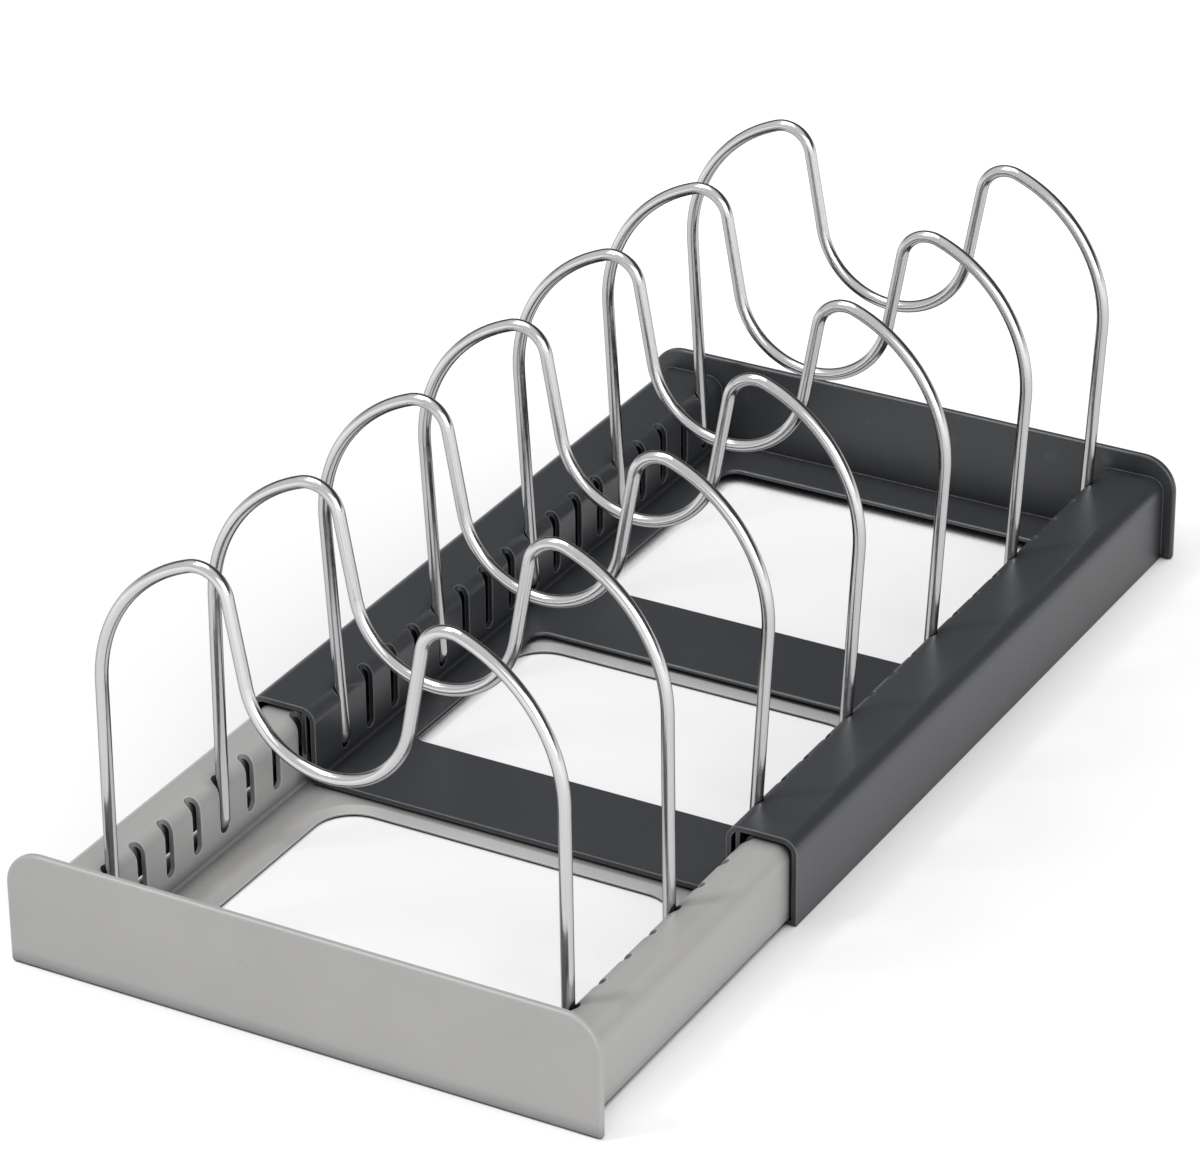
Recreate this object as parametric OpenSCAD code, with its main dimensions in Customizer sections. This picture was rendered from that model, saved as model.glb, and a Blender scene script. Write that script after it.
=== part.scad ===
// Pull-out rack for pot lids and plates: an inner frame with two hollow rails slides into
// an outer frame, and bent wire dividers stand in slots along the rails.
// Millimetres, Z up, origin at the bottom centre of the rack as it stands pulled out.

/* [Rack] */
// Width over the end plates
rack_w = 200; // [170:1:216]
// Length of each frame with its end plate
frame_len = 273; // [235:1:285]
// How far the inner frame stands out of the outer one
extension = 127; // [90:1:200]

/* [End plates] */
// Thickness of the end plates
plate_t = 2.5; // [2.2:0.1:3]
// Height of the front plate
front_h = 38.8; // [36:0.1:42]
// Height of the back plate
back_h = 36.7; // [35:0.1:40]
// Radius of the upper corners of the plates
plate_r = 12; // [8:0.5:14]
// Rounding along the edges of the plates
plate_edge = 0.9; // [0.5:0.1:1]

/* [Rails] */
// Height of the outer rails
rail_h = 29.3; // [27:0.1:32]
// Width of the outer rails
rail_w = 23.8; // [23:0.1:25]
// Step from the end of a plate in to the outer rail
rail_inset = 4; // [3:0.5:5]
// Wall thickness of the frames
wall = 1.7; // [1.5:0.1:1.9]
// Rounding of the long upper corners of the rails
corner_r = 5; // [4:0.1:5]
// Play between the sides of the inner and the outer rails
side_gap = 1; // [0.6:0.1:1.2]
// Play between the tops of the inner and the outer rails
top_gap = 1.1; // [0.6:0.1:1.4]
// Width of the lip that holds the inner rail from below
lip_w = 2.3; // [1.6:0.1:2.6]
// Thickness of that lip
lip_t = 1.4; // [1:0.1:1.5]
// Play between the lip and the inner rail above it
lip_gap = 0.6; // [0.4:0.1:0.8]
// Rounding between a rail and the floor
fillet_r = 1; // [0.5:0.5:2]

/* [Floors] */
// Height of the underside of the inner floor
inner_floor_z = 0.5; // [0.4:0.1:0.8]
// Play between the two floors
floor_gap = 0.9; // [0.6:0.1:1]
// Floor left between the rails and the openings in the inner floor
inner_margin = 15.7; // [14:0.1:20]
// Corner radius of the openings in the inner floor
inner_open_r = 13; // [8:0.5:15]
// Width of the sloping rim round the openings in the inner floor
slope_w = 3.5; // [2.5:0.1:4]
// Drop of that sloping rim
slope_drop = 1.2; // [0.8:0.1:1.3]
// Floor left between the rails and the openings in the outer floor
outer_margin = 12.2; // [10:0.1:18]
// Corner radius of the openings in the outer floor
outer_open_r = 5; // [3:0.5:8]
// Floor left between an end plate's outer face and the nearest opening
plate_margin = 20; // [12:0.5:24]
// Width of the floor bar between the two openings of a frame
floor_bar = 36.5; // [30:0.5:40]
// Floor left at the open end of the inner frame
inner_end_bar = 32; // [28:0.5:36]
// Floor left at the open end of the outer frame
outer_end_bar = 37; // [32:0.5:40]
// Share of the two openings' length that the one beside the plate takes
long_share = 0.55; // [0.5:0.01:0.6]

/* [Slots] */
// Distance from slot to slot
slot_pitch = 15; // [14:0.1:15]
// Height of the bottom of the slots
slot_z = 7.6; // [7.2:0.1:8.5]
// Play between a divider and the sides of its slot
slot_gap = 0.3; // [0.2:0.05:0.4]
// Distance from the front plate's outer face to the first slot
inner_slot_start = 22; // [18:0.5:24]
// Distance from the back plate's outer face to the last slot
outer_slot_end = 15.5; // [14:0.5:18]
// Depth of the slots in the inner rails
inner_slot_d = 4; // [3.6:0.1:4.5]
// Depth of the slots in the outer rails
outer_slot_d = 3.6; // [3.6:0.1:3.8]
// Height of the lower edge of the rib behind the slots
rib_z = 12.6; // [12.5:0.1:16]

/* [Dividers] */
// Thickness of the wire
wire_d = 4; // [3.6:0.1:4.1]
// Height of the dividers above the table
divider_h = 138; // [130:1:146]
// Height of the middle of the wire at the bottom of the dip
dip_z = 78.6; // [74:0.1:84]
// Half width of a divider for which its four bends below are given
bend_x = 76.9; // [74:0.1:80]
// Bend radius of the long shoulders
shoulder_r = 49; // [46:0.5:52]
// Bend radius of the peaks
peak_r = 9.6; // [8:0.1:11]
// Bend radius of the dip
dip_r = 27.5; // [25:0.5:28]
// Distance from the widest place of a divider in to its peak
peak_in = 35.5; // [34:0.1:37]
// How far the legs bow outward beyond the rail's inner wall
wire_bow = 4.7; // [4:0.1:5.5]
// How deep the legs stand in their slots
foot_in = 0.3; // [0:0.1:0.3]
// Bend radius of the hooked feet
foot_r = 3; // [2.6:0.1:3.1]
// How far a hooked foot reaches out from its leg
foot_reach = 3.6; // [3.3:0.1:3.8]

/* [Hidden] */
rack_len = extension + frame_len;
y_front = -rack_len / 2;
y_mouth = y_front + extension;
y_back = rack_len / 2;
y_inner_end = y_front + frame_len;

outer_x = rack_w / 2 - rail_inset;
outer_in_x = outer_x - rail_w;
rib_t = 1;
rib_play = 0.3;
rib_bite = 0.3;
inner_x = outer_x - wall - side_gap;
inner_in_x = outer_in_x + outer_slot_d + rib_t + rib_play;
inner_h = rail_h - wall - top_gap;
cavity_r = corner_r - wall;
outer_floor_z = inner_floor_z + wall + floor_gap;
inner_skirt_z = lip_t + lip_gap;
cut_over = 1;

inner_open_w = inner_in_x - inner_margin;
outer_open_w = outer_in_x - outer_margin;
// floor openings: start and end measured from the end plate of the inner frame
inner_open_len = frame_len - plate_margin - floor_bar - inner_end_bar;
inner_bar_y = plate_margin + long_share * inner_open_len;
inner_openings = [[plate_margin, inner_bar_y],
                  [inner_bar_y + floor_bar, frame_len - inner_end_bar]];
// the same measured from the mouth of the outer frame
outer_open_len = frame_len - plate_margin - floor_bar - outer_end_bar;
outer_bar_y = outer_end_bar + (1 - long_share) * outer_open_len;
outer_openings = [[outer_end_bar, outer_bar_y],
                  [outer_bar_y + floor_bar, frame_len - plate_margin]];

slot_w = wire_d + 2 * slot_gap;
slot_end_min = 0.65 * slot_pitch;
slot_count = floor((frame_len - inner_slot_start - slot_end_min) / slot_pitch) + 1;
divider_step = floor((slot_count - 1) / 4);
slot_mid_z = slot_z + slot_w / 2;

wire_r = wire_d / 2;
widest_x = outer_in_x + wire_bow;
inner_foot_x = inner_in_x + foot_in;
outer_foot_x = outer_in_x + foot_in;
foot_z = slot_mid_z;
// the bends grow and shrink with the width of the dividers
bend_k = widest_x / bend_x;
shoulder_br = shoulder_r * bend_k;
peak_br = peak_r * bend_k;
dip_br = dip_r * bend_k;
peak_x = widest_x - peak_in * bend_k;
peak_z = divider_h - wire_r - peak_br;
shoulder_x = widest_x - shoulder_br;
shoulder_run = shoulder_x - peak_x;
shoulder_z = peak_z - sqrt(pow(shoulder_br - peak_br, 2) - pow(shoulder_run, 2));
dip_mid_z = dip_z + dip_br;
// where the shoulder bend meets the peak bend, and the peak bend meets the slope of the dip
join_a = atan2(peak_z - shoulder_z, peak_x - shoulder_x);
dip_dist = norm([peak_x, peak_z - dip_mid_z]);
dip_a = atan2(peak_z - dip_mid_z, peak_x) - acos((peak_br + dip_br) / dip_dist);
// where two lengths of wire meet, one runs a little way into the other and is a hair thinner
join_over = 0.2;
join_d = wire_d - 0.02;

$fn = 64;

module round_rect(x0, y0, x1, y1, r) {
    translate([x0 + r, y0]) square([x1 - x0 - 2 * r, y1 - y0]);
    translate([x0, y0 + r]) square([x1 - x0, y1 - y0 - 2 * r]);
    for (x = [x0 + r, x1 - r])
        for (y = [y0 + r, y1 - r])
            translate([x, y]) circle(r = r);
}

// section of the rounded edge of a plate: outward along x, through the plate along y
module edge_section(t, e) {
    intersection() {
        square([e, t]);
        union() {
            translate([0, e]) circle(r = e);
            translate([0, t - e]) circle(r = e);
            translate([0, e]) square([e, t - 2 * e]);
        }
    }
}

// end plate lying flat: width along x, height along y, all edges rounded
module flat_plate(w, h, t, r, e) {
    linear_extrude(t) {
        translate([-w / 2 + e, e]) square([w - 2 * e, h - r - e]);
        translate([-w / 2 + r, h - r - e]) square([w - 2 * r, r]);
        for (s = [-1, 1])
            translate([s * (w / 2 - r), h - r]) circle(r = r - e);
    }
    translate([w / 2 - e, e, 0]) rotate([90, 0, -90])
        linear_extrude(w - 2 * e) edge_section(t, e);
    translate([-w / 2 + r, h - e, 0]) rotate([90, 0, 90])
        linear_extrude(w - 2 * r) edge_section(t, e);
    for (s = [0, 1]) mirror([s, 0, 0]) {
        translate([w / 2 - e, h - r, 0]) rotate([90, 0, 0])
            linear_extrude(h - r - e) edge_section(t, e);
        translate([w / 2 - r, h - r, 0])
            rotate_extrude(angle = 90) translate([r - e, 0]) edge_section(t, e);
        translate([w / 2 - e, e, 0]) rotate([0, 0, -90])
            rotate_extrude(angle = 90) edge_section(t, e);
    }
}

module end_plate(y_outer, h, side) {
    y_far = side < 0 ? y_outer + plate_t : y_outer;
    translate([0, y_far, 0]) rotate([90, 0, 0])
        flat_plate(rack_w, h, plate_t, plate_r, plate_edge);
}

// rail section: x to the side, y up, both upper corners rounded
module rail_block(x0, x1, z0, z1, r) {
    translate([x0, z0]) square([x1 - x0, z1 - r - z0]);
    translate([x0 + r, z0]) square([x1 - x0 - 2 * r, z1 - z0]);
    for (x = [x0 + r, x1 - r])
        translate([x, z1 - r]) circle(r = r);
}

// hollow in the corner between the floor and a rail's inner wall
module corner_fill(x, z) {
    difference() {
        translate([x - fillet_r, z]) square([fillet_r + wall / 2, fillet_r]);
        translate([x - fillet_r, z + fillet_r]) circle(r = fillet_r);
        translate([x + wall / 2, z]) square(fillet_r);
    }
}

module outer_section() {
    difference() {
        rail_block(outer_in_x, outer_x, 0, rail_h, corner_r);
        rail_block(outer_in_x + wall, outer_x - wall, -cut_over, rail_h - wall, cavity_r);
        translate([outer_in_x - cut_over, -cut_over])
            square([wall + 2 * cut_over, outer_floor_z + cut_over]);
    }
    translate([outer_x - wall - lip_w, 0]) square([lip_w + wall / 2, lip_t]);
    translate([outer_in_x + outer_slot_d - rib_bite, rib_z])
        square([rib_t + rib_bite, rail_h - wall / 2 - rib_z]);
    corner_fill(outer_in_x, outer_floor_z + wall);
}

module inner_section() {
    difference() {
        rail_block(inner_in_x, inner_x, inner_floor_z, inner_h, corner_r);
        rail_block(inner_in_x + wall, inner_x - wall, inner_floor_z - cut_over,
                   inner_h - wall, cavity_r);
        translate([inner_x - wall - cut_over, 0])
            square([wall + 2 * cut_over, inner_skirt_z]);
    }
    translate([inner_in_x + inner_slot_d - rib_bite, rib_z])
        square([rib_t + rib_bite, inner_h - wall / 2 - rib_z]);
    corner_fill(inner_in_x, inner_floor_z + wall);
}

// one slot in the right-hand rail, cut from the middle of the rack outwards
module slot_cut(x_in, depth) {
    x_end = x_in + depth - slot_w / 2;
    translate([0, 0, slot_mid_z]) linear_extrude(rail_h) {
        translate([x_in - cut_over, -slot_w / 2]) square([x_end - x_in + cut_over, slot_w]);
        translate([x_end, 0]) circle(d = slot_w);
    }
    translate([x_in - cut_over, 0, slot_mid_z]) rotate([0, 90, 0])
        cylinder(d = slot_w, h = wall + 1.5 * cut_over);
}

// both rails of a frame between two places along the rack; the section is the child
module rails(y0, y1, x_in, depth, first_slot) {
    for (s = [0, 1]) mirror([s, 0, 0]) difference() {
        translate([0, y1, 0]) rotate([90, 0, 0]) linear_extrude(y1 - y0) children();
        for (i = [0:slot_count - 1])
            translate([0, first_slot + i * slot_pitch, 0]) slot_cut(x_in, depth);
    }
}

// a rim round one floor opening; its section is the child, drawn outwards from the edge
module rim(half_w, y0, y1, r) {
    for (s = [0, 1]) mirror([s, 0, 0]) {
        translate([half_w, y1 - r, 0]) rotate([90, 0, 0])
            linear_extrude(y1 - y0 - 2 * r) children();
        translate([half_w - r, y1 - r, 0])
            rotate_extrude(angle = 90) translate([r, 0]) children();
        translate([half_w - r, y0 + r, 0]) rotate([0, 0, -90])
            rotate_extrude(angle = 90) translate([r, 0]) children();
    }
    translate([half_w - r, y0, 0]) rotate([90, 0, -90])
        linear_extrude(2 * (half_w - r)) children();
    translate([r - half_w, y1, 0]) rotate([90, 0, 90])
        linear_extrude(2 * (half_w - r)) children();
}

// floor sheet with its openings enlarged by the width of the rims
module floor_sheet(half_w, y0, y1, z, y_ref, openings, open_w, open_r, grow) {
    translate([0, 0, z]) linear_extrude(wall) difference() {
        translate([-half_w, y0]) square([2 * half_w, y1 - y0]);
        for (o = openings)
            round_rect(-open_w - grow, y_ref + o[0] - grow, open_w + grow,
                       y_ref + o[1] + grow, open_r + grow);
    }
}

module outer_frame() color([0.27, 0.27, 0.29]) {
    rails(y_mouth, y_back - plate_t / 2, outer_in_x, outer_slot_d,
          y_back - outer_slot_end - (slot_count - 1) * slot_pitch) outer_section();
    floor_sheet(outer_in_x + wall / 2, y_mouth, y_back - plate_t / 2, outer_floor_z,
                y_mouth, outer_openings, outer_open_w, outer_open_r, wall / 2);
    for (o = outer_openings)
        rim(outer_open_w, y_mouth + o[0], y_mouth + o[1], outer_open_r)
            intersection() {
                translate([wall / 2, outer_floor_z + wall / 2]) circle(d = wall);
                translate([0, outer_floor_z]) square([wall / 2, wall]);
            }
    end_plate(y_back, back_h, 1);
}

module inner_frame() color([0.67, 0.67, 0.66]) {
    rails(y_front + plate_t / 2, y_inner_end, inner_in_x, inner_slot_d,
          y_front + inner_slot_start) inner_section();
    floor_sheet(inner_in_x + wall / 2, y_front + plate_t / 2, y_inner_end, inner_floor_z,
                y_front, inner_openings, inner_open_w, inner_open_r, slope_w);
    for (o = inner_openings)
        rim(inner_open_w, y_front + o[0], y_front + o[1], inner_open_r)
            polygon([[0, inner_floor_z], [slope_w, inner_floor_z],
                     [slope_w, inner_floor_z + wall], [0, inner_floor_z + wall - slope_drop]]);
    end_plate(y_front, front_h, -1);
}

// round bend in the plane of a divider, from one angle up to another, running on at its ends
module bend(x, z, r, a0, a1, thick, over) {
    over_a = over / r * 180 / PI;
    translate([x, 0, z]) rotate([90, 0, 0]) rotate([0, 0, a0 - over_a])
        rotate_extrude(angle = a1 - a0 + 2 * over_a) translate([r, 0]) circle(d = thick);
}

// straight length in the plane of a divider
module straight(x0, z0, x1, z1, thick) {
    translate([x0, 0, z0]) rotate([0, atan2(x1 - x0, z1 - z0), 0])
        cylinder(d = thick, h = norm([x1 - x0, z1 - z0]));
}

// leg between two bends, running a little way into both
module leg(x0, z0, x1, z1) {
    translate([x0, 0, z0]) rotate([0, atan2(x1 - x0, z1 - z0), 0]) translate([0, 0, -join_over])
        cylinder(d = join_d, h = norm([x1 - x0, z1 - z0]) + 2 * join_over);
}

// a divider: both halves run from the hooked foot up the leg, over the peak and into the dip
module divider(foot_x) {
    hook_x = foot_x + foot_r;
    hook_z = foot_z + foot_r;
    hook_dist = norm([hook_x - shoulder_x, hook_z - shoulder_z]);
    leg_a = atan2(hook_z - shoulder_z, hook_x - shoulder_x)
            + acos((shoulder_br + foot_r) / hook_dist);
    for (s = [0, 1]) mirror([s, 0, 0]) {
        straight(hook_x - join_over, foot_z, foot_x + foot_reach, foot_z, join_d);
        bend(hook_x, hook_z, foot_r, leg_a + 180, 270, wire_d, 0);
        leg(hook_x - foot_r * cos(leg_a), hook_z - foot_r * sin(leg_a),
            shoulder_x + shoulder_br * cos(leg_a), shoulder_z + shoulder_br * sin(leg_a));
        bend(shoulder_x, shoulder_z, shoulder_br, leg_a, join_a, wire_d, 0);
        bend(peak_x, peak_z, peak_br, join_a, dip_a + 180, join_d, join_over);
        straight(dip_br * cos(dip_a), dip_mid_z + dip_br * sin(dip_a),
                 peak_x - peak_br * cos(dip_a), peak_z - peak_br * sin(dip_a), wire_d);
    }
    bend(0, dip_mid_z, dip_br, -180 - dip_a, dip_a, join_d, join_over);
}

module inner_divider(n) color([0.78, 0.78, 0.78])
    translate([0, y_front + inner_slot_start + n * divider_step * slot_pitch, 0])
        divider(inner_foot_x);

module outer_divider(n) color([0.78, 0.78, 0.78])
    translate([0, y_back - outer_slot_end - (4 - n) * divider_step * slot_pitch, 0])
        divider(outer_foot_x);

module divider_1() inner_divider(0);
module divider_2() inner_divider(1);
module divider_3() outer_divider(0);
module divider_4() outer_divider(1);
module divider_5() outer_divider(2);
module divider_6() outer_divider(3);
module divider_7() outer_divider(4);

outer_frame();
inner_frame();
divider_1();
divider_2();
divider_3();
divider_4();
divider_5();
divider_6();
divider_7();
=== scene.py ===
import math

import bpy
from bpy.props import FloatProperty, FloatVectorProperty, PointerProperty
from mathutils import Matrix, Vector

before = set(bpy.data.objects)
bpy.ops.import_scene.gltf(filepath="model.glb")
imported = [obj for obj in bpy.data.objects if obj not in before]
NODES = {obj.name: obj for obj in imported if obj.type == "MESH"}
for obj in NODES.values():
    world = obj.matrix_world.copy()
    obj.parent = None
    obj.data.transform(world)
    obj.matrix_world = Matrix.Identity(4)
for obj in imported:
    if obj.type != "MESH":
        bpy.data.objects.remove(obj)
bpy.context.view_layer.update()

bl_info = {
    "name": "Pot lid rack",
    "version": (1, 0, 0),
    "blender": (4, 5, 0),
    "location": "3D View > Sidebar > Lid rack",
    "description": "Finishes the pull-out pot lid rack and sets up its studio",
    "category": "Object",
}

INNER_DIVIDERS = ("divider_1", "divider_2")
OUTER_DIVIDERS = ("divider_3", "divider_4", "divider_5", "divider_6", "divider_7")

# how strongly each plastic mirrors, as its refractive index
LIGHT_IOR = 1.5
DARK_IOR = 1.58

# width of the painted highlight along each plastic's edges, and how bright it is
LIGHT_RIM, LIGHT_EDGE_HIGHLIGHT = 0.0008, 0.5
DARK_RIM, DARK_EDGE_HIGHLIGHT = 0.0007, 0.20
# colour of the painted edge highlight, and of the real rubs
HIGHLIGHT_AND_RUB_COLOUR = (0.9, 0.9, 0.9)

# painted shade: the plastic's colour darkens where something else stands this close to it
PAINTED_SHADE_REACH = 0.006

# strength and depth of the relief in the plastic's grain and in the wire's marks
GRAIN_RELIEF = (0.35, 0.00004)
WIRE_RELIEF = (0.15, 0.00003)

# colour of the marks along the wire, and its tint where it is seen edge on
WIRE_MARKS = (0.30, 0.30, 0.31)
WIRE_EDGE_TINT = (0.25, 0.25, 0.25, 1)

# where the studio's white canopy stands, as a direction from the rack
CANOPY = (-0.25, -0.60, 0.76)
CANOPY_LEVEL = 0.95

# the lights: where each stands, and its width and height
LIGHTS_AIM = (0, 0, 0.05)
KEY_PLACE, KEY_SIZE = (1.9, -1.35, 0.95), (2.4, 1.6)
TOP_PLACE, TOP_SIZE = (-0.5, -0.1, 2.2), (1.6, 1.2)
EDGE_PLACE, EDGE_SIZE = (-1.04, -1.12, 1.90), (0.4, 0.3)

# the floor lies this far below the rack, and gets painted shade this far from it
FLOOR_DROP = 0.0002
FLOOR_REACH = 0.14
# colour of the painted shade under the rack
SHADED_FLOOR_COLOUR = (0.03, 0.03, 0.03)
SEEN_FLOOR_SHARE = 0.62

# the camera: its angles in degrees, what it looks at and how far it stands from that
CAMERA_AZIMUTH, CAMERA_ELEVATION, CAMERA_ROLL = 29.30, 27.80, -0.52
CAMERA_TARGET = (0.00014, -0.020, 0.06931)
CAMERA_DISTANCE = 1.59671
SENSOR_WIDTH = 36


class InnerFrameSettings(bpy.types.PropertyGroup):
    colour: FloatVectorProperty(
        name="Colour", description="Light grey of the inner frame", subtype="COLOR",
        size=3, min=0, max=1, default=(0.365, 0.360, 0.356))
    roughness: FloatProperty(
        name="Roughness", description="How matt the light plastic is", subtype="FACTOR",
        min=0, max=1, default=0.34)
    grain: FloatProperty(
        name="Grain", description="Size of the moulded grain", unit="LENGTH",
        min=0.0001, max=0.005, default=0.0005)
    edge: FloatProperty(
        name="Edge", description="Rounding of the small edges", unit="LENGTH",
        min=0, max=0.002, default=0.0003)


class OuterFrameSettings(bpy.types.PropertyGroup):
    colour: FloatVectorProperty(
        name="Colour", description="Dark grey of the outer frame", subtype="COLOR",
        size=3, min=0, max=1, default=(0.032, 0.034, 0.0385))
    roughness: FloatProperty(
        name="Roughness", description="How matt the dark plastic is", subtype="FACTOR",
        min=0, max=1, default=0.37)
    grain: FloatProperty(
        name="Grain", description="Size of the moulded grain", unit="LENGTH",
        min=0.0001, max=0.005, default=0.0005)
    edge: FloatProperty(
        name="Edge", description="Rounding of the small edges", unit="LENGTH",
        min=0, max=0.002, default=0.0003)


class WireSettings(bpy.types.PropertyGroup):
    colour: FloatVectorProperty(
        name="Colour", description="Colour of the bare steel wire", subtype="COLOR",
        size=3, min=0, max=1, default=(0.57, 0.57, 0.568))
    roughness: FloatProperty(
        name="Roughness", description="How dull the drawn wire is", subtype="FACTOR",
        min=0, max=1, default=0.14)
    streaks: FloatProperty(
        name="Streaks", description="Strength of the long drawing marks", subtype="FACTOR",
        min=0, max=1, default=0.35)


class StageSettings(bpy.types.PropertyGroup):
    floor_colour: FloatVectorProperty(
        name="Floor", description="Colour of the floor", subtype="COLOR",
        size=3, min=0, max=1, default=(0.8, 0.8, 0.8))
    floor_size: FloatProperty(
        name="Floor size", description="Width of the floor", unit="LENGTH",
        min=1, max=100, default=30)
    ambient: FloatProperty(
        name="Ambient", description="Level of the soft light from all round",
        min=0, max=2, default=0.38)
    ceiling: FloatProperty(
        name="Ceiling", description="Level of the room overhead as reflections show it",
        min=0, max=2, default=0.08)
    key: FloatProperty(
        name="Key", description="Power of the large soft light in front on the right",
        unit="POWER", min=0, max=500, default=36)
    top: FloatProperty(
        name="Top", description="Power of the soft light high above on the left",
        unit="POWER", min=0, max=500, default=23)
    edge: FloatProperty(
        name="Edge light", description="Power of the small light that draws the upper edges",
        unit="POWER", min=0, max=500, default=15)
    lens: FloatProperty(
        name="Lens", description="Focal length in millimetres",
        min=10, max=500, default=155.26)


def add_node(tree, kind, x, y, **values):
    """A node at a place in the tree; values set its properties by name."""
    node = tree.nodes.new(kind)
    node.location = (x, y)
    for name, value in values.items():
        setattr(node, name, value)
    return node


def math_node(tree, operation, x, y, first, second=None, clamp=False):
    """A Math node whose inputs are sockets or numbers."""
    node = add_node(tree, "ShaderNodeMath", x, y, operation=operation, use_clamp=clamp)
    for socket, value in zip(node.inputs, (first, second)):
        if value is None:
            continue
        if isinstance(value, (int, float)):
            socket.default_value = value
        else:
            tree.links.new(value, socket)
    return node.outputs[0]


def range_node(tree, x, y, value, from_min, from_max, to_min, to_max):
    """A clamped Map Range."""
    node = add_node(tree, "ShaderNodeMapRange", x, y, clamp=True)
    tree.links.new(value, node.inputs["Value"])
    node.inputs["From Min"].default_value = from_min
    node.inputs["From Max"].default_value = from_max
    for name, bound in (("To Min", to_min), ("To Max", to_max)):
        if isinstance(bound, (int, float)):
            node.inputs[name].default_value = bound
        else:
            tree.links.new(bound, node.inputs[name])
    return node.outputs["Result"]


def mix_colours(tree, x, y, factor, first, second, blend="MIX"):
    """A colour Mix node; each input is a socket or a colour."""
    node = add_node(tree, "ShaderNodeMix", x, y, data_type="RGBA", blend_type=blend)
    for socket, value in ((node.inputs[0], factor), (node.inputs[6], first), (node.inputs[7], second)):
        if isinstance(value, bpy.types.NodeSocket):
            tree.links.new(value, socket)
        elif isinstance(value, (int, float)):
            socket.default_value = value
        else:
            socket.default_value = (*value[:3], 1)
    return node.outputs[2]


def set_inputs(node, **values):
    """Sets a node's inputs by name, with underscores for spaces."""
    for name, value in values.items():
        node.inputs[name.replace("_", " ")].default_value = value


def new_group(name, inputs, outputs):
    """An empty shader node group with named sockets, and its input and output nodes."""
    group = bpy.data.node_groups.new(name, "ShaderNodeTree")
    for label, kind, default in inputs:
        socket = group.interface.new_socket(label, in_out="INPUT", socket_type=kind)
        if default is not None:
            socket.default_value = default
    for label, kind in outputs:
        group.interface.new_socket(label, in_out="OUTPUT", socket_type=kind)
    entry = add_node(group, "NodeGroupInput", -1400, 0)
    leave = add_node(group, "NodeGroupOutput", 900, 0)
    return group, entry, leave


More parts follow.
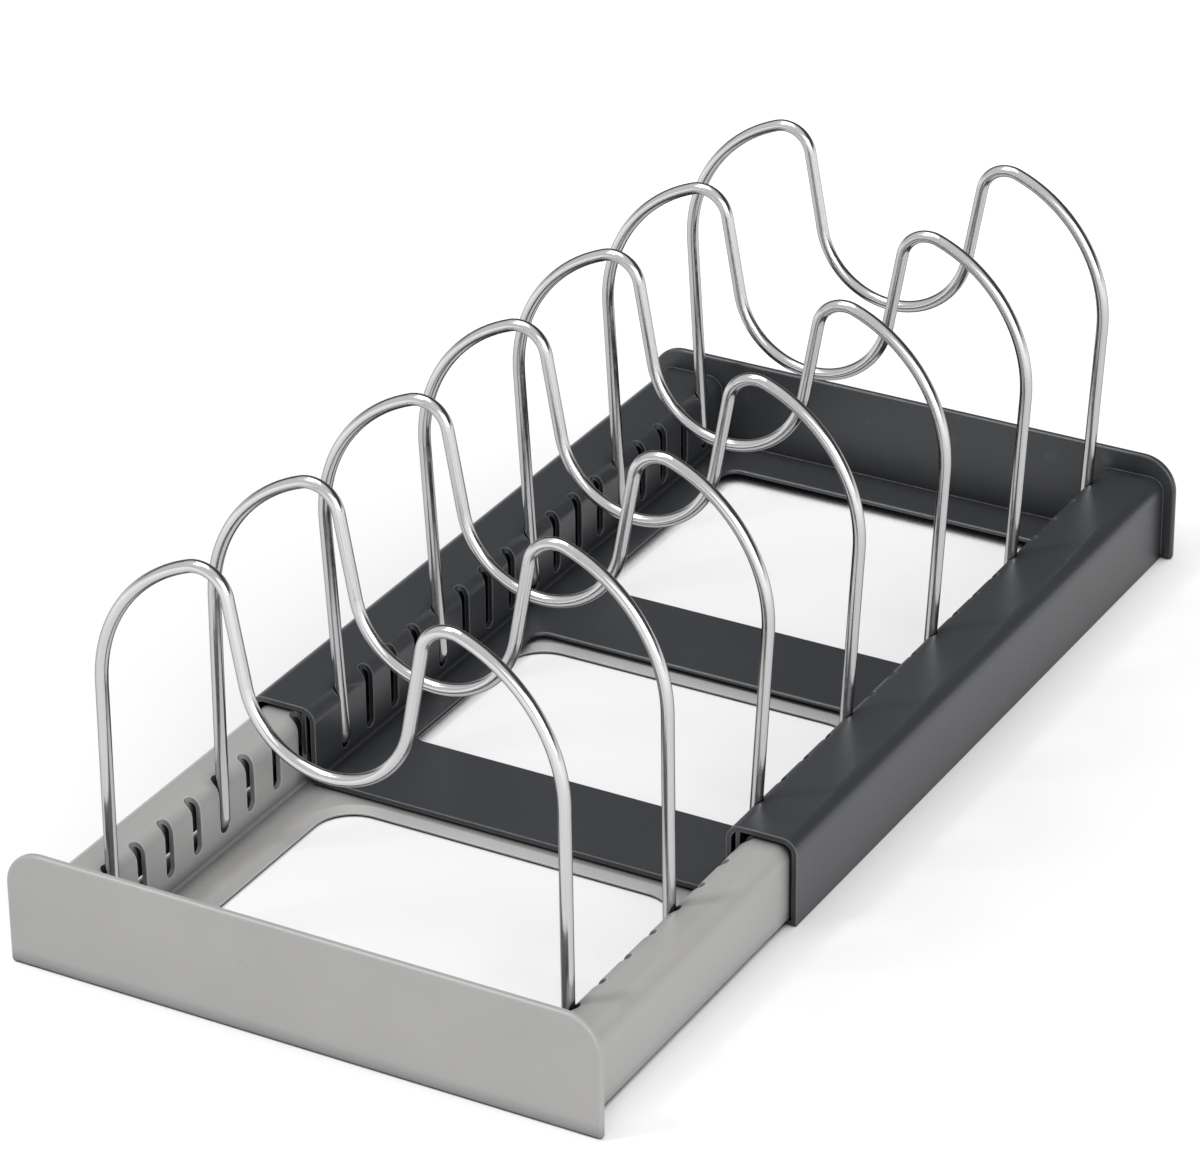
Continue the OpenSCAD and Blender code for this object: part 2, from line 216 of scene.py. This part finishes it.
def moulded_skin_group():
    """Skin of moulded plastic: fine grain, faint mottling, a painted highlight along the edges and
    painted shade in the gaps.
    """
    found = bpy.data.node_groups.get("moulded_skin")
    if found:
        return found
    group, entry, leave = new_group(
        "moulded_skin",
        [("Colour", "NodeSocketColor", (0.5, 0.5, 0.5, 1)),
         ("Roughness", "NodeSocketFloat", 0.5),
         ("Grain Size", "NodeSocketFloat", 0.0005),
         ("Edge Radius", "NodeSocketFloat", 0.0005),
         ("Rim Radius", "NodeSocketFloat", 0.001),
         ("Edge Lift", "NodeSocketFloat", 0.3)],
        [("Colour", "NodeSocketColor"), ("Roughness", "NodeSocketFloat"),
         ("Height", "NodeSocketFloat"), ("Edge Normal", "NodeSocketVector")])
    link = group.links.new
    place = add_node(group, "ShaderNodeTexCoord", -1200, 300).outputs["Object"]

    # fine spark-eroded grain
    density = math_node(group, "DIVIDE", -1000, 200, 1.0, entry.outputs["Grain Size"])
    grain = add_node(group, "ShaderNodeTexNoise", -800, 300)
    link(place, grain.inputs["Vector"])
    link(density, grain.inputs["Scale"])
    set_inputs(grain, Detail=3, Roughness=0.6)

    # slow mottling from the way the plastic flowed
    flow = add_node(group, "ShaderNodeTexNoise", -800, 0)
    stretch = add_node(group, "ShaderNodeMapping", -1000, 0)
    set_inputs(stretch, Scale=(1.0, 0.25, 1.0))
    link(place, stretch.inputs["Vector"])
    link(stretch.outputs["Vector"], flow.inputs["Vector"])
    set_inputs(flow, Scale=28, Detail=4, Roughness=0.55)
    darkest, lightest = 0.965, 1.03
    flow_tone = range_node(group, -600, 0, flow.outputs["Fac"], 0.3, 0.7, darkest, lightest)

    # handling marks: short faint rubs that catch the light
    rub = add_node(group, "ShaderNodeTexNoise", -800, -300)
    rub_map = add_node(group, "ShaderNodeMapping", -1000, -300)
    set_inputs(rub_map, Rotation=(0.3, 0.5, 0.7), Scale=(1.0, 9.0, 1.0))
    link(place, rub_map.inputs["Vector"])
    link(rub_map.outputs["Vector"], rub.inputs["Vector"])
    set_inputs(rub, Scale=130, Detail=2)
    rub_mask = range_node(group, -600, -300, rub.outputs["Fac"], 0.64, 0.74, 0.0, 1.0)
    rub_lift, rub_polish = 0.012, 0.06

    # edges: a fine rounding for the shading, and a wider one that marks where the painted highlight
    # lies along the rim
    bevel = add_node(group, "ShaderNodeBevel", -1000, -650, samples=6)
    link(entry.outputs["Edge Radius"], bevel.inputs["Radius"])
    flat = add_node(group, "ShaderNodeNewGeometry", -1000, -850)
    rim = add_node(group, "ShaderNodeBevel", -1000, -1100, samples=6)
    link(entry.outputs["Rim Radius"], rim.inputs["Radius"])
    dot = add_node(group, "ShaderNodeVectorMath", -800, -700, operation="DOT_PRODUCT")
    link(rim.outputs["Normal"], dot.inputs[0])
    link(flat.outputs["True Normal"], dot.inputs[1])
    flat_enough, full_edge = 0.995, 0.82
    highlight_mask = range_node(group, -600, -700, dot.outputs["Value"], flat_enough, full_edge,
                           0.0, 1.0)

    # painted shade: the colour is darker between pieces that nearly touch, and in inner corners
    shade_probe = add_node(group, "ShaderNodeAmbientOcclusion", -800, 600, samples=4)
    set_inputs(shade_probe, Distance=PAINTED_SHADE_REACH)
    closed, clear, deepest = 0.40, 0.90, 0.15
    painted_shade_tone = range_node(group, -600, 600, shade_probe.outputs["AO"], closed, clear, deepest, 1.0)

    grey = add_node(group, "ShaderNodeCombineColor", -200, 50)
    # the colour's tone: the real mottling times the painted shade
    tone = math_node(group, "MULTIPLY", -400, 50, flow_tone, painted_shade_tone)
    for channel in grey.inputs:
        link(tone, channel)
    toned = mix_colours(group, 0, 200, 1.0, entry.outputs["Colour"], grey.outputs["Color"],
                        "MULTIPLY")
    # painted highlight along the edges, dimmed where the painted shade falls; the rubs added to it are
    # real wear
    painted_highlight = math_node(group, "MULTIPLY", -200, -500, highlight_mask, entry.outputs["Edge Lift"])
    painted_highlight = math_node(group, "MULTIPLY", -100, -600, painted_highlight, painted_shade_tone)
    rubbed = math_node(group, "MULTIPLY", -200, -300, rub_mask, rub_lift)
    highlight_and_rubs = math_node(group, "ADD", 0, -400, painted_highlight, rubbed, clamp=True)
    final = mix_colours(group, 300, 200, highlight_and_rubs, toned, HIGHLIGHT_AND_RUB_COLOUR)
    link(final, leave.inputs["Colour"])

    rough_shift = range_node(group, 0, -50, grain.outputs["Fac"], 0.3, 0.7, -0.05, 0.05)
    rough = math_node(group, "ADD", 200, -50, entry.outputs["Roughness"], rough_shift)
    rough = math_node(group, "SUBTRACT", 400, -50, rough,
                      math_node(group, "MULTIPLY", 200, -220, rub_mask, rub_polish), clamp=True)
    link(rough, leave.inputs["Roughness"])

    flow_relief = 0.8
    height = math_node(group, "ADD", 200, -400, grain.outputs["Fac"],
                       math_node(group, "MULTIPLY", 0, -550, flow.outputs["Fac"], flow_relief))
    link(height, leave.inputs["Height"])
    link(bevel.outputs["Normal"], leave.inputs["Edge Normal"])
    return group


def drawn_wire_group():
    """Long fine marks that run along a drawn wire, whichever way it is bent."""
    found = bpy.data.node_groups.get("drawn_wire")
    if found:
        return found
    group, entry, leave = new_group(
        "drawn_wire",
        [("Colour", "NodeSocketColor", (0.6, 0.6, 0.6, 1)),
         ("Roughness", "NodeSocketFloat", 0.2),
         ("Streaks", "NodeSocketFloat", 0.3)],
        [("Colour", "NodeSocketColor"), ("Roughness", "NodeSocketFloat"),
         ("Height", "NodeSocketFloat")])
    link = group.links.new
    coord = add_node(group, "ShaderNodeTexCoord", -1200, 200)
    round_part = add_node(group, "ShaderNodeSeparateXYZ", -1000, 100)
    link(coord.outputs["Normal"], round_part.inputs[0])
    along = add_node(group, "ShaderNodeSeparateXYZ", -1000, 350)
    link(coord.outputs["Object"], along.inputs[0])

    # around the wire the normal's share along Y changes, along the wire it stays
    marks_round, marks_along = 9.0, 16.0
    where = add_node(group, "ShaderNodeCombineXYZ", -600, 200)
    for slot, (y, value, scale) in enumerate(((100, round_part.outputs["Y"], marks_round),
                                              (300, along.outputs["X"], marks_along),
                                              (450, along.outputs["Z"], marks_along))):
        link(math_node(group, "MULTIPLY", -800, y, value, scale), where.inputs[slot])
    marks = add_node(group, "ShaderNodeTexNoise", -400, 200)
    link(where.outputs[0], marks.inputs["Vector"])
    set_inputs(marks, Scale=1.0, Detail=5, Roughness=0.7)

    # small clouds where the wire is a little duller
    cloud = add_node(group, "ShaderNodeTexNoise", -400, -150)
    link(coord.outputs["Object"], cloud.inputs["Vector"])
    set_inputs(cloud, Scale=300, Detail=3)

    streak = range_node(group, -200, 200, marks.outputs["Fac"], 0.35, 0.68, 0.0, 1.0)
    weight = math_node(group, "MULTIPLY", 0, 100, streak, entry.outputs["Streaks"], clamp=True)
    colour = mix_colours(group, 300, 200, weight, entry.outputs["Colour"], WIRE_MARKS)
    link(colour, leave.inputs["Colour"])
    shift = range_node(group, 0, -100, cloud.outputs["Fac"], 0.3, 0.7, -0.04, 0.06)
    rough = math_node(group, "ADD", 200, -50, entry.outputs["Roughness"], shift)
    mark_roughness = 0.12
    rough = math_node(group, "ADD", 400, -50, rough,
                      math_node(group, "MULTIPLY", 200, -200, weight, mark_roughness), clamp=True)
    link(rough, leave.inputs["Roughness"])
    link(marks.outputs["Fac"], leave.inputs["Height"])
    return group


def clean_material(name):
    """A material with an empty tree, one Principled shader and the output."""
    material = bpy.data.materials.new(name)
    material.use_nodes = True
    tree = material.node_tree
    tree.nodes.clear()
    output = add_node(tree, "ShaderNodeOutputMaterial", 700, 0)
    shader = add_node(tree, "ShaderNodeBsdfPrincipled", 400, 0)
    tree.links.new(shader.outputs["BSDF"], output.inputs["Surface"])
    return material, tree, shader


def moulded_plastic(name, colour, roughness, ior, grain, edge, rim, edge_highlight):
    """Moulded plastic with its grain and rounded edges."""
    material, tree, shader = clean_material(name)
    skin = add_node(tree, "ShaderNodeGroup", -200, 0, node_tree=moulded_skin_group())
    set_inputs(skin, Colour=(*colour, 1), Roughness=roughness, Grain_Size=grain,
               Edge_Radius=edge, Rim_Radius=rim, Edge_Lift=edge_highlight)
    relief = add_node(tree, "ShaderNodeBump", 100, -250)
    set_inputs(relief, Strength=GRAIN_RELIEF[0], Distance=GRAIN_RELIEF[1])
    link = tree.links.new
    link(skin.outputs["Height"], relief.inputs["Height"])
    link(skin.outputs["Edge Normal"], relief.inputs["Normal"])
    link(skin.outputs["Colour"], shader.inputs["Base Color"])
    link(skin.outputs["Roughness"], shader.inputs["Roughness"])
    link(relief.outputs["Normal"], shader.inputs["Normal"])
    set_inputs(shader, IOR=ior)
    return material


def dress(node_name, material):
    """Puts one material on a node of the frame."""
    slots = NODES[node_name].material_slots
    if not slots:
        raise RuntimeError(f"{node_name} has no material slot")
    for slot in slots:
        slot.material = material


class LIDRACK_OT_inner_frame(bpy.types.Operator):
    """Finishes the light frame that slides out"""
    bl_idname = "lidrack.inner_frame"
    bl_label = "Inner frame"

    def execute(self, context):
        own = context.scene.lidrack_inner_frame
        plastic = moulded_plastic("light_grey_plastic", own.colour, own.roughness,
                                  LIGHT_IOR, own.grain, own.edge, LIGHT_RIM, LIGHT_EDGE_HIGHLIGHT)
        dress("inner_frame", plastic)
        return {"FINISHED"}


class LIDRACK_OT_outer_frame(bpy.types.Operator):
    """Finishes the dark frame that the inner frame slides into"""
    bl_idname = "lidrack.outer_frame"
    bl_label = "Outer frame"

    def execute(self, context):
        own = context.scene.lidrack_outer_frame
        plastic = moulded_plastic("dark_grey_plastic", own.colour, own.roughness,
                                  DARK_IOR, own.grain, own.edge, DARK_RIM, DARK_EDGE_HIGHLIGHT)
        dress("outer_frame", plastic)
        return {"FINISHED"}


class LIDRACK_OT_dividers(bpy.types.Operator):
    """Finishes the bent wire dividers"""
    bl_idname = "lidrack.dividers"
    bl_label = "Wire dividers"

    def execute(self, context):
        own = context.scene.lidrack_wire
        material, tree, shader = clean_material("drawn_steel_wire")
        wire = add_node(tree, "ShaderNodeGroup", -200, 0, node_tree=drawn_wire_group())
        set_inputs(wire, Colour=(*own.colour, 1), Roughness=own.roughness, Streaks=own.streaks)
        relief = add_node(tree, "ShaderNodeBump", 100, -250)
        set_inputs(relief, Strength=WIRE_RELIEF[0], Distance=WIRE_RELIEF[1])
        link = tree.links.new
        link(wire.outputs["Height"], relief.inputs["Height"])
        link(wire.outputs["Colour"], shader.inputs["Base Color"])
        link(wire.outputs["Roughness"], shader.inputs["Roughness"])
        link(relief.outputs["Normal"], shader.inputs["Normal"])
        set_inputs(shader, Metallic=1.0, Specular_Tint=WIRE_EDGE_TINT)
        for name in INNER_DIVIDERS + OUTER_DIVIDERS:
            dress(name, material)
        return {"FINISHED"}


def soft_box(name, place, size, power):
    """A rectangular area light aimed at the rack."""
    data = bpy.data.lights.new(name, "AREA")
    data.shape = "RECTANGLE"
    data.size, data.size_y = size
    data.energy = power
    light = bpy.data.objects.new(name, data)
    bpy.context.scene.collection.objects.link(light)
    light.location = place
    aim = Vector(LIGHTS_AIM) - Vector(place)
    light.rotation_euler = aim.to_track_quat("-Z", "Y").to_euler()


def white_to_eye(tree, x, y):
    """1 for camera, glossy and transmission rays, 0 for light that falls on the object."""
    path = add_node(tree, "ShaderNodeLightPath", x, y)
    seen = math_node(tree, "MAXIMUM", x + 200, y, path.outputs["Is Camera Ray"],
                     path.outputs["Is Glossy Ray"])
    return math_node(tree, "MAXIMUM", x + 400, y, seen, path.outputs["Is Transmission Ray"])


def set_world(context, ambient, ceiling):
    """Even soft light; white to the eye, and mirrored as a dim room with a white canopy."""
    world = bpy.data.worlds.new("studio")
    context.scene.world = world
    world.use_nodes = True
    tree = world.node_tree
    tree.nodes.clear()
    output = add_node(tree, "ShaderNodeOutputWorld", 800, 0)
    background = add_node(tree, "ShaderNodeBackground", 600, 0)
    background.inputs["Color"].default_value = (1, 1, 1, 1)
    place = add_node(tree, "ShaderNodeTexCoord", -1000, -300)
    height = add_node(tree, "ShaderNodeSeparateXYZ", -800, -300)
    tree.links.new(place.outputs["Generated"], height.inputs[0])
    # low down the mirrored room is white, as the floor is
    low = range_node(tree, -400, -300, height.outputs["Z"], 0.04, 0.16, 1.0, ceiling)
    canopy = add_node(tree, "ShaderNodeVectorMath", -800, -500, operation="DOT_PRODUCT")
    tree.links.new(place.outputs["Generated"], canopy.inputs[0])
    canopy.inputs[1].default_value = CANOPY
    overhead = range_node(tree, -400, -500, canopy.outputs["Value"], 0.26, 0.50,
                          0.0, CANOPY_LEVEL)
    room = math_node(tree, "MAXIMUM", -200, -300, low, overhead)
    path = add_node(tree, "ShaderNodeLightPath", -600, 0)
    mirrored = math_node(tree, "MAXIMUM", -400, 0, path.outputs["Is Glossy Ray"],
                         path.outputs["Is Transmission Ray"])
    level = range_node(tree, 0, -100, mirrored, 0.0, 1.0, ambient, room)
    level = math_node(tree, "MAXIMUM", 300, 0, level, path.outputs["Is Camera Ray"])
    tree.links.new(level, background.inputs["Strength"])
    tree.links.new(background.outputs[0], output.inputs["Surface"])


def make_floor(size, colour):
    """A pale floor that looks white, keeps the rack's shadow and has painted shade near and under the
    rack.
    """
    half = size / 2
    mesh = bpy.data.meshes.new("floor")
    mesh.from_pydata([(-half, -half, 0), (half, -half, 0), (half, half, 0), (-half, half, 0)],
                     [], [(0, 1, 2, 3)])
    floor = bpy.data.objects.new("floor", mesh)
    floor.location.z = -FLOOR_DROP
    bpy.context.scene.collection.objects.link(floor)
    material = bpy.data.materials.new("pale_floor")
    material.use_nodes = True
    tree = material.node_tree
    tree.nodes.clear()
    output = add_node(tree, "ShaderNodeOutputMaterial", 600, 0)
    matt = add_node(tree, "ShaderNodeBsdfDiffuse", 200, 100)
    glow = add_node(tree, "ShaderNodeEmission", 200, -100)
    # the floor glows to the eye, less so near the rack and under it, as painted shade
    seen = white_to_eye(tree, -600, -200)
    open_sky = add_node(tree, "ShaderNodeAmbientOcclusion", -600, -450, samples=8)
    set_inputs(open_sky, Distance=FLOOR_REACH)
    lit = range_node(tree, -300, -450, open_sky.outputs["AO"], 0.20, 0.48, 0.0, 1.0)
    place = add_node(tree, "ShaderNodeTexCoord", -800, -700)
    away = add_node(tree, "ShaderNodeVectorMath", -600, -700, operation="LENGTH")
    tree.links.new(place.outputs["Object"], away.inputs[0])
    far = range_node(tree, -300, -700, away.outputs["Value"], 0.12, 0.7, 0.40, 1.0)
    level = math_node(tree, "MULTIPLY", 0, -200, seen,
                      math_node(tree, "MULTIPLY", -100, -550, lit, far))
    # painted shade: the floor's colour is darkest where the rack hides it
    inside = range_node(tree, -300, 200, open_sky.outputs["AO"], 0.22, 0.40, 0.0, 1.0)
    softened = mix_colours(tree, -200, 400, seen, colour,
                           [SEEN_FLOOR_SHARE * part for part in colour])
    shade = mix_colours(tree, 0, 200, inside, SHADED_FLOOR_COLOUR, softened)
    tree.links.new(shade, matt.inputs["Color"])
    both = add_node(tree, "ShaderNodeAddShader", 400, 0)
    link = tree.links.new
    link(level, glow.inputs["Strength"])
    link(matt.outputs[0], both.inputs[0])
    link(glow.outputs[0], both.inputs[1])
    link(both.outputs[0], output.inputs["Surface"])
    mesh.materials.append(material)


def make_camera(lens):
    """The camera at the photograph's angle, from a fit to the rack's own edges."""
    data = bpy.data.cameras.new("camera")
    data.sensor_width = SENSOR_WIDTH
    data.lens = lens
    data.clip_start = 0.01
    data.clip_end = 100
    camera = bpy.data.objects.new("camera", data)
    bpy.context.scene.collection.objects.link(camera)
    azimuth, elevation, roll = map(math.radians, (CAMERA_AZIMUTH, CAMERA_ELEVATION, CAMERA_ROLL))
    target = Vector(CAMERA_TARGET)
    back = Vector((math.sin(azimuth) * math.cos(elevation),
                   -math.cos(azimuth) * math.cos(elevation), math.sin(elevation)))
    right = Vector((0, 0, 1)).cross(back).normalized()
    up = back.cross(right)
    turned_right = right * math.cos(roll) + up * math.sin(roll)
    turned_up = up * math.cos(roll) - right * math.sin(roll)
    axes = Matrix((turned_right, turned_up, back)).transposed().to_4x4()
    camera.matrix_world = Matrix.Translation(target + back * CAMERA_DISTANCE) @ axes
    bpy.context.scene.camera = camera


class LIDRACK_OT_stage(bpy.types.Operator):
    """Sets up the floor, the lights and the camera"""
    bl_idname = "lidrack.stage"
    bl_label = "Stage"

    def execute(self, context):
        own = context.scene.lidrack_stage
        context.scene.view_settings.view_transform = "Standard"
        set_world(context, own.ambient, own.ceiling)
        make_floor(own.floor_size, own.floor_colour)
        soft_box("key_light", KEY_PLACE, KEY_SIZE, own.key)
        soft_box("top_light", TOP_PLACE, TOP_SIZE, own.top)
        soft_box("edge_light", EDGE_PLACE, EDGE_SIZE, own.edge)
        make_camera(own.lens)
        return {"FINISHED"}


class LIDRACK_PT_panel(bpy.types.Panel):
    """Lists the rack's pieces and their settings"""
    bl_idname = "LIDRACK_PT_panel"
    bl_label = "Pot lid rack"
    bl_space_type = "VIEW_3D"
    bl_region_type = "UI"
    bl_category = "Lid rack"

    def draw(self, context):
        rows = (("lidrack.inner_frame", "lidrack_inner_frame"),
                ("lidrack.outer_frame", "lidrack_outer_frame"),
                ("lidrack.dividers", "lidrack_wire"),
                ("lidrack.stage", "lidrack_stage"))
        for operator, settings in rows:
            box = self.layout.box()
            box.operator(operator)
            group = getattr(context.scene, settings)
            for name in group.__annotations__:
                box.prop(group, name)


CLASSES = (InnerFrameSettings, OuterFrameSettings, WireSettings, StageSettings,
           LIDRACK_OT_inner_frame, LIDRACK_OT_outer_frame, LIDRACK_OT_dividers,
           LIDRACK_OT_stage, LIDRACK_PT_panel)


def register():
    for cls in CLASSES:
        bpy.utils.register_class(cls)
    bpy.types.Scene.lidrack_inner_frame = PointerProperty(type=InnerFrameSettings)
    bpy.types.Scene.lidrack_outer_frame = PointerProperty(type=OuterFrameSettings)
    bpy.types.Scene.lidrack_wire = PointerProperty(type=WireSettings)
    bpy.types.Scene.lidrack_stage = PointerProperty(type=StageSettings)


def unregister():
    for name in ("lidrack_inner_frame", "lidrack_outer_frame", "lidrack_wire", "lidrack_stage"):
        delattr(bpy.types.Scene, name)
    for cls in reversed(CLASSES):
        bpy.utils.unregister_class(cls)


def main():
    register()
    bpy.ops.lidrack.stage()
    bpy.ops.lidrack.inner_frame()
    bpy.ops.lidrack.outer_frame()
    bpy.ops.lidrack.dividers()


if __name__ == "__main__":
    main()
